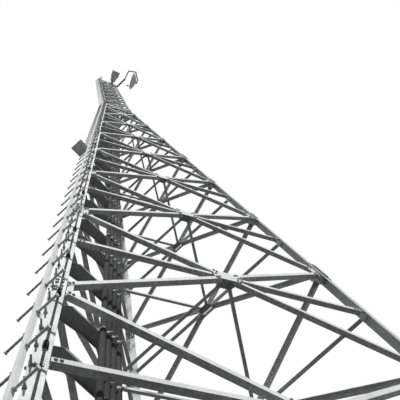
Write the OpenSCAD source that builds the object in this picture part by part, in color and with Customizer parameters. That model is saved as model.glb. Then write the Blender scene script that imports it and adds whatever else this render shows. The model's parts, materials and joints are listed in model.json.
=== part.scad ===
// Self-supporting three-legged radio tower: angle-section legs, X-braced faces, an upright mast,
// a climbing rail with alternate pegs, feeder cables on brackets and two antennas. Millimetres, +Z up.
// The origin is on the ground, at the middle of the left leg's base plate.

/* [Tower] */
// Width of a face at the ground, from heel to heel
base_w = 4815; // [4500:5:5200]
// Width of a face at the waist, where the upright mast starts
waist_w = 1105; // [1060:5:1200]
// Width of a face at the top
top_w = 930; // [880:5:980]
// Height of the first joint above the ground
first_joint_h = 3900; // [3400:20:4000]
// Height of a regular panel
panel_h = 2800; // [2600:10:2900]
// Height of the short panel under the waist
neck_h = 1300; // [1100:10:1400]
// Height of one bay of the mast
bay_h = 1354; // [1200:2:1400]

/* [Legs] */
// Flange width of the leg angles in the lower tier
leg_lower_b = 130; // [120:1:140]
// Flange width of the leg angles in the middle tier
leg_middle_b = 120; // [110:1:130]
// Flange width of the leg angles in the upper tier
leg_upper_b = 100; // [90:1:110]
// Flange width of the leg angles in the mast
leg_mast_b = 80; // [70:1:90]
// Thickness of the leg angles
leg_t = 10; // [8:0.5:12]
// Length of the cover angle over a joint of two leg lengths
splice_l = 520; // [300:10:700]
// Thickness of the cover angle
splice_t = 8; // [6:0.5:12]

/* [Bracing] */
// Flange width of the bars in the tapered faces
brace_b = 62; // [54:1:70]
// Flange width of the bars in the mast
mast_brace_b = 42; // [36:1:48]
// Thickness of all bracing angles
brace_t = 6; // [5:0.5:7]
// Distance between the two diagonals that meet at a joint of a leg
joint_gap = 190; // [140:5:220]
// Height of a joint plate behind the diagonals, above or below the joint
joint_plate_h = 190; // [170:5:240]
// Length over which a bar lies on a plate
bolted_l = 60; // [50:2:80]
// Thickness of all joint plates
plate_t = 8; // [6:0.5:10]
// Flange width of the ties that join the middles of the faces
tie_b = 42; // [36:1:50]
// Height of the ring beam at the waist
ring_h = 120; // [100:5:140]
// Depth of the ring beam's lower flange
ring_b = 100; // [80:5:110]

/* [Feet] */
// Side of a square base plate
foot_w = 420; // [400:5:480]
// Thickness of a base plate
foot_t = 25; // [20:1:32]
// Diameter of the circle through a base plate's anchor holes
anchor_pcd = 440; // [420:5:460]
// Diameter of an anchor hole
anchor_d = 28; // [24:1:34]
// Height of the ribs that stiffen a leg on its base plate
rib_h = 220; // [160:5:260]
// Thickness of the ribs
rib_t = 12; // [8:0.5:16]

/* [Climbing rail] */
// Distance from the leg's heel to the middle of the rail
rail_out = 58; // [50:1:100]
// Width of the rail
rail_w = 50; // [40:1:60]
// Depth of the rail
rail_d = 36; // [30:1:44]
// Height of the rail's lower end
rail_foot_z = 1800; // [1500:20:2000]
// Height of the lowest peg
first_peg_z = 2262; // [2100:1:2400]
// Height from one peg to the next, which is on the other side
peg_pitch = 282; // [270:1:320]
// Reach of a peg from the side of the rail
peg_l = 205; // [140:5:240]
// Diameter of a peg
peg_d = 20; // [16:1:24]
// Distance between two brackets of the rail
bracket_pitch = 1400; // [1000:20:1500]
// Height of the rest platform
rest_z = 14900; // [12000:20:17000]
// Length of the rest platform, across the rail
rest_l = 270; // [220:5:320]
// Width of the rest platform, away from the leg
rest_w = 260; // [200:5:300]

/* [Cable brackets] */
// Height of the lower end of the cables
cable_foot_z = 2400; // [2200:20:2800]
// Reach of the brackets inward from the left leg's heel
bracket_l = 725; // [690:5:760]
// Distance by which the brackets stand nearer to the front face than to the left one
bracket_side = 50; // [0:5:60]
// Width of a bracket
bracket_w = 120; // [100:2:130]
// Diameter of a feeder cable
cable_d = 56; // [40:1:60]
// Free space between two cables
cable_gap = 3; // [2:1:8]
// Number of feeder cables
cables = 4; // [2:1:4]

/* [Antennas] */
// Diameter of the drum antenna
drum_d = 420; // [360:10:460]
// Length of the drum antenna
drum_l = 560; // [480:10:640]
// Diameter of the dish antenna
dish_d = 940; // [860:10:980]
// Depth of the dish antenna
dish_depth = 180; // [140:5:210]
// Diameter of the pipes that carry the antennas
pipe_d = 60; // [48:1:70]

/* [Hidden] */
$fn = 48;

steel = [0.72, 0.73, 0.74];
black = [0.08, 0.08, 0.09];
grey = [0.5, 0.5, 0.51];
white = [0.9, 0.9, 0.9];

LEFT = 0;
RIGHT = 1;
REAR = 2;
leg_angle = [210, 330, 90];     // direction of each leg from the tower's axis
FRONT_FACE = 0;                 // face f stands between legs f and f + 1
RIGHT_FACE = 1;
LEFT_FACE = 2;
face_angle = [0, 120, 240];     // the front face looks along -Y

// Three tapered tiers, and the mast over them
LOWER = 0;
MIDDLE = 1;
UPPER = 2;
MAST = 3;
regular_panels = 8;
mast_bays = 8;
foot_joint_z = foot_t + rib_h + 20;
panel_z = concat([foot_joint_z], [for (i = [0:regular_panels]) first_joint_h + i * panel_h],
    [first_joint_h + regular_panels * panel_h + neck_h]);
waist_z = panel_z[len(panel_z) - 1];
top_z = waist_z + mast_bays * bay_h;
tier_panels = [[0, 1, 2], [3, 4, 5], [6, 7, 8, 9]];
tied_panels = [[0, 1, 2], [3, 4, 5], [6, 7]];
tier_lo = [foot_t, panel_z[3], panel_z[6], waist_z];
tier_hi = [panel_z[3], panel_z[6], waist_z, top_z];
leg_b = [leg_lower_b, leg_middle_b, leg_upper_b, leg_mast_b];

root3 = sqrt(3);
// Width of a face at height z
function w_at(z) = z < waist_z ? base_w + (waist_w - base_w) * z / waist_z
    : waist_w + (top_w - waist_w) * (z - waist_z) / (top_z - waist_z);
// Height at which a tier's straight lines start, its width there and its loss of width per height
function rise(tier) = tier == MAST ? waist_z : 0;
function start_w(tier) = tier == MAST ? waist_w : base_w;
function taper(tier) = tier == MAST ? (waist_w - top_w) / (top_z - waist_z) : (base_w - waist_w) / waist_z;
function leg_lean(tier) = atan(taper(tier) / root3);
function face_lean(tier) = atan(taper(tier) / (2 * root3));
// Distance along a face from its start, for a height above the ground
function along(z, tier) = (z - rise(tier)) / cos(face_lean(tier));

foot_in = 38;                   // a base plate's middle lies this far inward of the leg's heel
origin_r = base_w / root3 - foot_in;
face_out = 5;                   // the bars' outer side lies this far outside the plane of the heels
bite = 1;                       // overlap of plates and bars that are welded into one piece
far = 2 * base_w;

// Puts the middle of the left base plate at the origin
module standing() translate([origin_r * cos(30), origin_r * sin(30), 0]) children();

// x outward from the axis and z along the leg's heel
module leg_frame(leg, tier)
    rotate([0, 0, leg_angle[leg]]) translate([start_w(tier) / root3, 0, rise(tier)])
        rotate([0, -leg_lean(tier), 0]) children();

// x along the face, y inward and z up, in the plane of the two heels
module face_frame(face, tier)
    rotate([0, 0, face_angle[face]]) translate([0, -start_w(tier) / (2 * root3), rise(tier)])
        rotate([-face_lean(tier), 0, 0]) children();

module slab(z0, z1) translate([-far, -far, z0]) cube([2 * far, 2 * far, z1 - z0]);

// An angle section with its outer corner at the origin, or thickened outward by extra
module angle_section(b, t, extra = 0)
    polygon([[-extra, -extra], [b, -extra], [b, t], [t, t], [t, b], [-extra, b]]);

// Endless angle along a heel; out moves its corner outward of the heel
module leg_bar(leg, tier, b, t, out = 0, extra = 0)
    leg_frame(leg, tier) translate([out, 0, -far / 40])
        linear_extrude((tier == MAST ? top_z - waist_z : waist_z) * 1.02 + far / 20)
            rotate(135) angle_section(b, t, extra);

module leg_part(leg, tier) color(steel) standing() intersection() {
    leg_bar(leg, tier, leg_b[tier], leg_t);
    slab(tier_lo[tier], tier_hi[tier]);
}

// Cover angles around the three legs, over the joint between a tier and the next
module splices(tier) color(steel) standing() for (leg = [LEFT, RIGHT, REAR]) difference() {
    intersection() {
        leg_bar(leg, tier, leg_b[tier + 1] + splice_t, splice_t + leg_t / 2, splice_t * sqrt(2));
        slab(tier_hi[tier] - splice_l / 2, tier_hi[tier] + splice_l / 2);
    }
    leg_frame(leg, tier) linear_extrude(waist_z * 1.02) rotate(135) square(2 * leg_lower_b);
}

// A bar stays this far from a leg's heel, where the ledges of two faces would meet
function end_in(b) = (b - face_out) * root3 + b / 2 + 3;
// and stops this far from the middle of a crossing
function stop(b) = 1.7 * b;

// A bar of a face, with its flat side outward and its ledge below
module brace(u0, v0, u1, v1, b)
    translate([u0, 0, v0]) rotate([0, 90 - atan2(v1 - v0, u1 - u0), 0])
        linear_extrude(norm([u1 - u0, v1 - v0]))
            translate([b / 2, -face_out]) rotate(90) angle_section(b, brace_t);

// A flat plate of a face, y being its outer side
module face_plate(u, v, y, points)
    translate([u, y + plate_t, v]) rotate([90, 0, 0]) linear_extrude(plate_t) polygon(points);

// Plate behind the bars at a leg; side is 1 at the left leg, and it reaches lo below and hi above v
module joint_plate(h, v, side, reach, lo, hi, tier)
    face_plate(-side * (h - plate_in), v, brace_t - face_out - bite, [for (p = [[0, -lo], [0.6, -lo],
        [1, -lo / 2], [1, hi / 2], [0.6, hi], [0, hi]])
            [side * (p[0] * (reach - plate_in) + p[1] * taper(tier) / 2), p[1]]]);
plate_in = 20;                  // a joint plate starts this far from the heel

// Outer plate over a crossing of bars at angle a
module cross_plate(v, b, a, strut) {
    r = stop(b) + bolted_l * b / brace_b;
    x = strut ? r : r * cos(a) + b / 3;
    y = r * sin(a) + b / 3;
    c = min(x, y) / 3;
    face_plate(0, v, bite - face_out - plate_t, [[-x, c - y], [c - x, -y], [x - c, -y], [x, c - y],
        [x, y - c], [x - c, y], [c - x, y], [-x, y - c]]);
}

// Height along the face at which the diagonals of the panel from z0 to z1 cross
function crossing(z0, z1, b, gap, tier) =
    let (v0 = along(z0, tier) + gap / 2, v1 = along(z1, tier) - gap / 2,
        h0 = w_at(z0) / 2 - end_in(b), h1 = w_at(z1) / 2 - end_in(b)) v0 + (v1 - v0) * h0 / (h0 + h1);

// Half of a diagonal, with its ledge along its upper edge if high
module diagonal(u0, v0, u1, v1, b, high)
    if (high) brace(u1, v1, u0, v0, b); else brace(u0, v0, u1, v1, b);

// Bars between heights z0 and z1: four halves of the diagonals, their plate and, if asked, a strut
module panel(tier, z0, z1, b, gap, strut, high = false) {
    v0 = along(z0, tier) + gap / 2;
    v1 = along(z1, tier) - gap / 2;
    h0 = w_at(z0) / 2 - end_in(b);
    h1 = w_at(z1) / 2 - end_in(b);
    vc = crossing(z0, z1, b, gap, tier);
    a = atan2(v1 - v0, h0 + h1);
    x = stop(b) * cos(a);
    y = stop(b) * sin(a);
    diagonal(-h0, v0, -x, vc - y, b, high);
    diagonal(x, vc + y, h1, v1, b, high);
    diagonal(-h1, v1, -x, vc + y, b, high);
    diagonal(x, vc - y, h0, v0, b, high);
    cross_plate(vc, b, a, strut);
    if (strut) {
        hc = w_at(rise(tier) + vc * cos(face_lean(tier))) / 2;
        brace(end_in(b) - hc, vc, -stop(b), vc, b);
        brace(stop(b), vc, hc - end_in(b), vc, b);
    }
}

// Keeps plates clear of the two legs of a face
module between_legs(face, tier) difference() {
    children();
    for (side = [0, 1])
        leg_bar((face + side) % 3, tier, leg_b[tier], leg_t, extra = leg_b[tier]);
}

// Plates at both legs for a list of [height, reach below, reach above]
module joint_plates(face, tier, b, joints) between_legs(face, tier) face_frame(face, tier)
    for (j = joints, side = [-1, 1])
        joint_plate(w_at(j[0]) / 2, along(j[0], tier), side, end_in(b) + bolted_l * b / brace_b,
            j[1], j[2], tier);

module face_part(face, tier) color(steel) standing() {
    panels = tier_panels[tier];
    last = panels[len(panels) - 1] + 1;
    p = joint_plate_h;
    joint_plates(face, tier, brace_b, concat(
        [for (i = [panels[0]:last]) [panel_z[i], i == panels[0] ? 0 : p, i == last ? 0 : p]],
        [for (i = panels) [crossing(panel_z[i], panel_z[i + 1], brace_b, joint_gap, tier)
            * cos(face_lean(tier)), 0.7 * brace_b, 0.7 * brace_b]]));
    face_frame(face, tier) for (i = panels)
        panel(tier, panel_z[i], panel_z[i + 1], brace_b, joint_gap, true, face == RIGHT_FACE);
}

mast_gap = 2.4 * mast_brace_b;
// The mast's joints: over the ring beam, between the bays and under the top
mast_z = [for (i = [0:mast_bays]) waist_z + i * bay_h + (i == 0 ? ring_h : i == mast_bays ? -mast_brace_b : 0)];
module mast_face(face) color(steel) standing() {
    p = 1.1 * mast_gap;
    joint_plates(face, MAST, mast_brace_b, [for (i = [0:mast_bays])
        [mast_z[i], i == 0 ? 0 : p, i == mast_bays ? mast_brace_b : p]]);
    face_frame(face, MAST) for (i = [1:mast_bays]) {
        panel(MAST, mast_z[i - 1], mast_z[i], mast_brace_b, mast_gap, false);
        h = w_at(mast_z[i]) / 2 - end_in(mast_brace_b);
        brace(-h, along(mast_z[i], MAST), h, along(mast_z[i], MAST), mast_brace_b);
    }
}

// Inside of the ledges of all three faces
module core(tier) intersection_for (face = [0:2])
    face_frame(face, tier) translate([-far, brace_b - face_out, -far / 10]) cube([2 * far, far, 8 * far]);

// Ties between the middles of the faces, level with the ledges there
module plan_ties(tier) color(steel) standing() intersection() {
    core(tier);
    for (i = tied_panels[tier], turn = leg_angle) {
        vc = crossing(panel_z[i], panel_z[i + 1], brace_b, joint_gap, tier) - brace_b / 2;
        z = vc * cos(face_lean(tier)) - (brace_b - face_out) * sin(face_lean(tier));
        half = w_at(z) / 4 + tie_b;
        rotate([0, 0, turn]) translate([w_at(z) / root3 / 4, half, z])
            rotate([90, 0, 0]) linear_extrude(2 * half) translate([-tie_b / 2, 0]) angle_section(tie_b, brace_t);
    }
}

// Ring beam: an upright web in each face, and a wide lower flange with mitred ends
module waist_ring() color(steel) standing() for (face = [0:2]) between_legs(face, MAST)
    face_frame(face, MAST) {
        h = waist_w / 2;
        translate([0, 0, ring_lift]) linear_extrude(brace_t) polygon([for (side = [-1, 1], y = side * [1, -1])
            let (d = y > 0 ? ring_b - face_out : -face_out) [side * (h - 2 - d * root3 - (d < 0 ? 40 : 0)), d]]);
        translate([40 - h, -face_out, ring_lift]) cube([2 * h - 80, brace_t, ring_h - ring_lift]);
    }
ring_lift = 2;                  // keeps the tilted flange over the waist's level plane

// Base plate with ribs against the leg and four anchor holes
module foot(leg) color(steel) standing() {
    rotate([0, 0, leg_angle[leg]]) translate([origin_r, 0, 0]) difference() {
        translate([-foot_w / 2, -foot_w / 2, 0]) cube([foot_w, foot_w, foot_t]);
        for (turn = [45:90:315]) rotate([0, 0, turn])
            translate([anchor_pcd / 2, 0, -1]) cylinder(d = anchor_d, h = foot_t + 2);
    }
    difference() {
        rotate([0, 0, leg_angle[leg]]) translate([origin_r, 0, foot_t - bite])
            for (turn = [0, 90, 270]) rotate([0, 0, turn]) translate([0, rib_t / 2, 0])
                rotate([90, 0, 0]) linear_extrude(rib_t) polygon([[0, 0], [foot_w / 2 - 15, 0],
                    [foot_w / 2 - 15, 30], [foot_in + 45, rib_h], [0, rib_h]]);
        // the leg and all inside its corner
        leg_frame(leg, LOWER) translate([0, 0, -first_joint_h])
            linear_extrude(2 * first_joint_h) rotate(135) square(leg_lower_b);
    }
}

rail_t = 5;
peg_count = floor((top_z - 2 * peg_d - first_peg_z) / peg_pitch);
// Rail with its brackets and pegs; even pegs are on the left of a climber who faces the leg
module climbing_rail(tier) color(steel) standing() difference() {
    leg_frame(LEFT, tier) {
        lo = max(tier_lo[tier], rail_foot_z);
        scale_v = 1 / cos(leg_lean(tier));
        v0 = (lo - rise(tier)) * scale_v;
        // its end is square, so the upper one ends lower, under the next
        v1 = (tier_hi[tier] - rise(tier)) * scale_v - (tier == UPPER ? rail_out / 8 : 0);
        translate([rail_out, 0, v0]) linear_extrude(v1 - v0) difference() {
            square([rail_d, rail_w], center = true);
            translate([-rail_t, 0]) square([rail_d, rail_w - 2 * rail_t], center = true);
        }
        for (z = [tier_hi[tier] - bracket_pitch / 2:-bracket_pitch:lo + splice_l / 2 + 60])
            translate([-leg_t, -rail_t, (z - rise(tier)) * scale_v - 40])
                cube([leg_t + rail_out + rail_d / 2 - rail_t + bite, 2 * rail_t, 80]);
        for (k = [0:peg_count]) {
            z = first_peg_z + k * peg_pitch;
            if (z > lo + peg_d && z <= tier_hi[tier] + peg_d)
                translate([rail_out, 0, (z - rise(tier)) * scale_v])
                    rotate([k % 2 == 0 ? 90 : -90, 0, 0]) translate([0, 0, rail_w / 2 - rail_t]) {
                        cylinder(d = peg_d, h = peg_l + rail_t);
                        cylinder(d = 1.7 * peg_d, h = rail_t + 0.6 * peg_d, $fn = 6);
                        translate([0, 0, peg_l + rail_t - 0.4 * peg_d])
                            cylinder(d = 1.6 * peg_d, h = 0.4 * peg_d, $fn = 12);
                    }
        }
    }
    leg_bar(LEFT, tier, leg_b[tier], leg_t);
}

// Small level plate beside the rail, on two arms
module rest_platform() color(grey) standing() {
    lean = leg_lean(MIDDLE);
    leg_frame(LEFT, MIDDLE) translate([rail_out - rail_d / 2, -rail_w / 2, rest_z / cos(lean)])
        rotate([0, lean, 0]) {
            translate([-20, -rest_l, 0]) cube([rest_w, rest_l, 6]);
            for (x = [-10, rest_w - 60]) translate([x, -rest_l, -30]) cube([8, rest_l - 60, 31]);
            translate([-10, -60, -30]) cube([rest_w - 42, 8, 31]);
            translate([0, -60, -30]) cube([rail_d, 60, 31]);
        }
}

// Heights of the brackets, away from the joints of the faces
function bracket_z(tier) = tier == MAST
    ? [for (i = [0:mast_bays - 1], k = [0.25, 0.75]) if (i < mast_bays - 1 || k < 0.5) waist_z + (i + k) * bay_h]
    : concat([for (k = [0.375, 0.11]) first_joint_h - k * panel_h],
        [for (i = [1:regular_panels], k = bracket_at) panel_z[i] + k * panel_h],
        [panel_z[regular_panels + 1] + 0.125 * panel_h]);
bracket_at = [0.257, 0.607, 0.875]; // heights in a regular panel as shares of it, clear of its struts
cable_lo = [cable_foot_z, 0, 0, waist_z];
cable_hi = [waist_z, 0, 0, top_z - bay_h / 2];
stile_b = 40;
lip_h = 36;
neck_l = 400;                   // a bracket widens over this length
// Brackets inside the left leg, joined at their ends by an upright angle
module cable_brackets(tier) color(grey) standing() difference() {
    intersection() {
        slab(cable_lo[tier], cable_hi[tier]);
        leg_frame(LEFT, tier) {
            for (z = bracket_z(tier)) translate([0, 0, (z - rise(tier)) / cos(leg_lean(tier))]) {
                linear_extrude(brace_t) polygon([[-20, -20], [-20, 20], [-neck_l, bracket_side + bracket_w / 2],
                    [-bracket_l, bracket_side + bracket_w / 2], [-bracket_l, bracket_side - bracket_w / 2],
                    [-neck_l, bracket_side - bracket_w / 2]]);
                for (y = [-bracket_w / 2, bracket_w / 2 - brace_t])
                    translate([-bracket_l, bracket_side + y, bite - lip_h])
                        cube([bracket_l - neck_l, brace_t, lip_h]);
            }
            translate([-bracket_l, bracket_side - stile_b / 2, cable_lo[tier] - rise(tier)])
                linear_extrude(cable_hi[tier] - cable_lo[tier] + 200)
                    mirror([1, 0]) angle_section(stile_b, brace_t);
        }
    }
    leg_bar(LEFT, tier, leg_b[tier], leg_t);
}

cable_clear = 0.3;
cable_in = neck_l + 66;          // from the heel to the first cable, which clears the ring beam
module feeder_cables(tier) color(black) standing() intersection() {
    slab(cable_lo[tier], cable_hi[tier]);
    leg_frame(LEFT, tier) for (i = [0:cables - 1])
        translate([-cable_in - (i + 0.5) * (cable_d + cable_gap),
            bracket_side + bracket_w / 2 + cable_clear + cable_d / 2, cable_lo[tier] - rise(tier) - 100])
            cylinder(d = cable_d, h = cable_hi[tier] - cable_lo[tier] + 300);
}

drum_u = 215;                   // from the middle of the front face to the drum's pole
pole_out = 75;                  // from the bars' outer side to the middle of the pole
drum_v = top_z - waist_z - 0.45 * bay_h;
drum_turn = 6;
clamp_h = 60;
// x from the pole along the drum's axis, in the front face
module drum_frame()
    face_frame(FRONT_FACE, MAST) translate([drum_u, -face_out - pole_out, drum_v])
        rotate([0, 0, drum_turn - 90]) children();

module drum_mount() color(steel) standing() {
    face_frame(FRONT_FACE, MAST) {
        v = [top_z - waist_z - bay_h, along(top_z - mast_brace_b / 2, MAST)];
        translate([drum_u, -face_out - pole_out, v[0] - clamp_h])
            cylinder(d = pipe_d, h = v[1] - v[0] + 2 * clamp_h);
        for (z = v) translate([drum_u - pipe_d / 2, -face_out - pole_out, z - mast_brace_b / 2])
            cube([pipe_d, pole_out, mast_brace_b]);
    }
    drum_frame() difference() {
        translate([-pipe_d, -pipe_d, -clamp_h]) cube([2 * pipe_d, 2 * pipe_d, 2 * clamp_h]);
        cylinder(d = pipe_d - 1, h = 4 * clamp_h, center = true);
    }
}

// Shroud with a narrower back, turned about its axis
module drum_antenna() color(grey) standing() drum_frame() translate([pipe_d, 0, 0]) rotate([0, 90, 0])
    rotate_extrude() polygon([[0, 0], [drum_d * 0.3, 0], [drum_d * 0.34, 30], [drum_d * 0.36, drum_l * 0.3],
        [drum_d / 2, drum_l * 0.55], [drum_d / 2, drum_l], [0, drum_l]]);

module drum_cover() color(white) standing() drum_frame() translate([pipe_d + drum_l, 0, 0])
    rotate([0, 90, 0]) cylinder(d = drum_d + 16, h = 24);

dish_t = 8;
dish_at = [750, -480];          // middle of the dish's rim from the right leg's heel
dish_z = top_z - 0.62 * bay_h;
dish_tilt = 5;                  // downwards
module dish_frame()
    translate([top_w / 2 + dish_at[0], -top_w / (2 * root3) + dish_at[1], dish_z])
        rotate([0, -dish_tilt, 0]) children();

// Depth of the dish at radius r, from the plane of its rim
function sag(r) = dish_depth * (1 - pow(2 * r / dish_d, 2));
ring_r = [for (i = [0:12]) i * dish_d / 24];
hub_x = dish_depth + dish_t + 30;
module dish_antenna() color(grey) standing() dish_frame() rotate([0, 90, 0]) rotate_extrude()
    polygon(concat([for (r = ring_r) [r, sag(r)]], [for (i = [12:-1:2]) [ring_r[i], sag(ring_r[i]) + dish_t]],
        [[pipe_d, sag(pipe_d) + dish_t], [pipe_d, hub_x], [0, hub_x]]));

// Bar from p to q
module pipe(p, q, d) translate(p) rotate([0, acos((q - p)[2] / norm(q - p)), atan2((q - p)[1], (q - p)[0])])
    cylinder(d = d, h = norm(q - p));

feed_l = 300;
// All that lies in front of the dish
module dish_inside() rotate([0, 90, 0]) rotate_extrude()
    polygon(concat([for (r = ring_r) [r, sag(r)]], [[dish_d / 2, -dish_d], [0, -dish_d]]));

module dish_feed() color(steel) standing() dish_frame() intersection() {
    dish_inside();
    union() {
        pipe([dish_depth, 0.3 * dish_d, 0], [-feed_l / 2, 0.3 * dish_d, 0], pipe_d / 2);
        translate([-feed_l / 2 - 60, 0.3 * dish_d - 40, -40]) cube([90, 80, 80]);
    }
}

// Clamp on the right leg, arm and pipe to the hub behind the dish
module dish_mount() color(steel) standing() {
    rim = dish_d / 2 + 1.2 * pipe_d;
    back = hub_x + 50;
    knee = [330 - dish_at[0], -460 - dish_at[1], 0];
    elbow = [-330, 60 - rim, 0];
    below = [0.3 * dish_depth, -rim, 0];
    corner = [back, -0.3 * rim, 0];
    dish_frame() {
        pipe([48 - dish_at[0], 34 - dish_at[1], 0], knee, 1.6 * pipe_d);
        pipe(knee, elbow, pipe_d);
        pipe(elbow, below, pipe_d);
        pipe(below, corner, pipe_d);
        pipe(corner, [back, 0, 0], pipe_d);
        pipe([hub_x, 0, 0], [back + 0.5 * pipe_d, 0, 0], 1.6 * pipe_d);
        for (p = [elbow, below, corner]) translate(p) sphere(d = 1.3 * pipe_d, $fn = 12);
        translate(knee) sphere(d = 1.9 * pipe_d, $fn = 12);
    }
    difference() {
        leg_frame(RIGHT, MAST) translate([0, 0, dish_z - waist_z - 120]) rotate(135)
            translate([0, -60, 0]) cube([leg_b[MAST] + 20, 80, 240]);
        leg_bar(RIGHT, MAST, leg_b[MAST], leg_t);
    }
}

foot(LEFT);  // left_foot
foot(RIGHT);  // right_foot
foot(REAR);  // rear_foot
leg_part(LEFT, LOWER);  // left_leg_lower
leg_part(LEFT, MIDDLE);  // left_leg_middle
leg_part(LEFT, UPPER);  // left_leg_upper
leg_part(LEFT, MAST);  // left_leg_mast
leg_part(RIGHT, LOWER);  // right_leg_lower
leg_part(RIGHT, MIDDLE);  // right_leg_middle
leg_part(RIGHT, UPPER);  // right_leg_upper
leg_part(RIGHT, MAST);  // right_leg_mast
leg_part(REAR, LOWER);  // rear_leg_lower
leg_part(REAR, MIDDLE);  // rear_leg_middle
leg_part(REAR, UPPER);  // rear_leg_upper
leg_part(REAR, MAST);  // rear_leg_mast
splices(LOWER);  // lower_splices
splices(MIDDLE);  // middle_splices
face_part(FRONT_FACE, LOWER);  // front_face_lower
face_part(FRONT_FACE, MIDDLE);  // front_face_middle
face_part(FRONT_FACE, UPPER);  // front_face_upper
mast_face(FRONT_FACE);  // front_face_mast
face_part(RIGHT_FACE, LOWER);  // right_face_lower
face_part(RIGHT_FACE, MIDDLE);  // right_face_middle
face_part(RIGHT_FACE, UPPER);  // right_face_upper
mast_face(RIGHT_FACE);  // right_face_mast
face_part(LEFT_FACE, LOWER);  // left_face_lower
face_part(LEFT_FACE, MIDDLE);  // left_face_middle
face_part(LEFT_FACE, UPPER);  // left_face_upper
mast_face(LEFT_FACE);  // left_face_mast
plan_ties(LOWER);  // plan_ties_lower
plan_ties(MIDDLE);  // plan_ties_middle
plan_ties(UPPER);  // plan_ties_upper
waist_ring();
climbing_rail(LOWER);  // climbing_rail_lower
climbing_rail(MIDDLE);  // climbing_rail_middle
climbing_rail(UPPER);  // climbing_rail_upper
climbing_rail(MAST);  // climbing_rail_mast
rest_platform();
cable_brackets(LOWER);
cable_brackets(MAST);  // cable_brackets_mast
feeder_cables(LOWER);
feeder_cables(MAST);  // feeder_cables_mast
drum_antenna();
drum_cover();
drum_mount();
dish_antenna();
dish_feed();
dish_mount();
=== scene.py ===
import json
import math
import bpy
import numpy as np
from mathutils import Matrix


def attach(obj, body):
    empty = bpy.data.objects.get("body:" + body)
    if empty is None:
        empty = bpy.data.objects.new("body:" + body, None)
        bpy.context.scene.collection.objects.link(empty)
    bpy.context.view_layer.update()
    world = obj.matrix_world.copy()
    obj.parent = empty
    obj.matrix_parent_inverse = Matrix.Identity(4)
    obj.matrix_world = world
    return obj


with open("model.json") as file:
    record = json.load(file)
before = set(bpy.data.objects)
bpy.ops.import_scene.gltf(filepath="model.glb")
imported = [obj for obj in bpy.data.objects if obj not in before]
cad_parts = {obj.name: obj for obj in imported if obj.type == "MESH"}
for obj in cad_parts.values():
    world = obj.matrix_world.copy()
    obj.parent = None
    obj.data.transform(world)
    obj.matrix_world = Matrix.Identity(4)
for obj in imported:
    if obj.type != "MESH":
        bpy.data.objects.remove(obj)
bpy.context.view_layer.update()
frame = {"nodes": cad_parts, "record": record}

# A three-legged lattice tower in galvanised steel. The bolts, cleats, clips, tape, welds and antenna
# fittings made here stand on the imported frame, and the finishes are for both. Metres, +Z up.

left, right, rear = 0, 1, 2
lower, middle, upper, mast = 0, 1, 2, 3
legNames = ("left", "right", "rear")
tierNames = ("Lower", "Middle", "Upper", "Mast")

tower = dict(baseWidth=4.815, waistWidth=1.105, topWidth=0.93, footInset=0.038, footJoint=0.265,
             firstJoint=3.9, panelHeight=2.8, panels=8, neckHeight=1.3, bayHeight=1.354, bays=8,
             faceOut=0.005, legWidths=(0.13, 0.12, 0.1, 0.08), braceWidth=0.062, mastBraceWidth=0.042,
             braceThickness=0.006, plateThickness=0.008, plateSeat=0.001, jointGap=0.19, mastJointGap=2.4,
             endClearance=0.003, crossingStop=1.7, ringHeight=0.12)
root3 = math.sqrt(3)
legAngle = (210, 330, 90)
faceAngle = (0, 120, 240)
panelZ = [tower["footJoint"]]
panelZ += [tower["firstJoint"] + i * tower["panelHeight"] for i in range(tower["panels"] + 1)]
panelZ += [panelZ[-1] + tower["neckHeight"]]
waistZ = panelZ[-1]
topZ = waistZ + tower["bays"] * tower["bayHeight"]
spliceZ = (panelZ[3], panelZ[6])  # where one leg section meets the next below the waist
tierLow = (0.0, *spliceZ, waistZ)
tierPanels = ((0, 1, 2), (3, 4, 5), (6, 7, 8, 9))
axisAt = np.array([math.cos(math.radians(30)), math.sin(math.radians(30)), 0]) * (
    tower["baseWidth"] / root3 - tower["footInset"])  # the tower's middle, with the left foot at the origin


def widthAt(z):  # a face's width falls in two straight lines, to the waist and then to the top
    if z < waistZ:
        return tower["baseWidth"] + (tower["waistWidth"] - tower["baseWidth"]) * z / waistZ
    return tower["waistWidth"] + (tower["topWidth"] - tower["waistWidth"]) * (z - waistZ) / (topZ - waistZ)


def taper(tier):  # loss of a face's width per metre of height
    if tier == mast:
        return (tower["waistWidth"] - tower["topWidth"]) / (topZ - waistZ)
    return (tower["baseWidth"] - tower["waistWidth"]) / waistZ


def startWidth(tier):
    return tower["waistWidth"] if tier == mast else tower["baseWidth"]


def rise(tier):
    return waistZ if tier == mast else 0.0


def legLean(tier):
    return math.atan(taper(tier) / root3)


def faceLean(tier):
    return math.atan(taper(tier) / (2 * root3))


def turnZ(degrees):
    c, s = math.cos(math.radians(degrees)), math.sin(math.radians(degrees))
    return np.array([[c, -s, 0], [s, c, 0], [0, 0, 1.0]])


def leanY(angle):
    c, s = math.cos(angle), math.sin(angle)
    return np.array([[c, 0, s], [0, 1, 0], [-s, 0, c]])


def leanX(angle):
    c, s = math.cos(angle), math.sin(angle)
    return np.array([[1, 0, 0], [0, c, -s], [0, s, c]])


def legPlace(leg, tier):  # turn and start of a leg's own axes: x outward, z up along the heel
    spin = turnZ(legAngle[leg])
    out = spin @ np.array([startWidth(tier) / root3, 0, 0])
    return spin @ leanY(-legLean(tier)), axisAt + out + [0, 0, rise(tier)]


def facePlace(face, tier):  # turn and start of a face's own axes: x along it, y inward, z up in its plane
    spin = turnZ(faceAngle[face])
    out = spin @ np.array([0, -startWidth(tier) / (2 * root3), 0])
    return spin @ leanX(-faceLean(tier)), axisAt + out + [0, 0, rise(tier)]


def alongFace(z, tier):
    return (z - rise(tier)) / math.cos(faceLean(tier))


def alongLeg(z, tier):
    return (z - rise(tier)) / math.cos(legLean(tier))


def tierOf(z):  # the tier that a height belongs to
    return max(tier for tier in (lower, middle, upper, mast) if z >= tierLow[tier])


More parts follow.
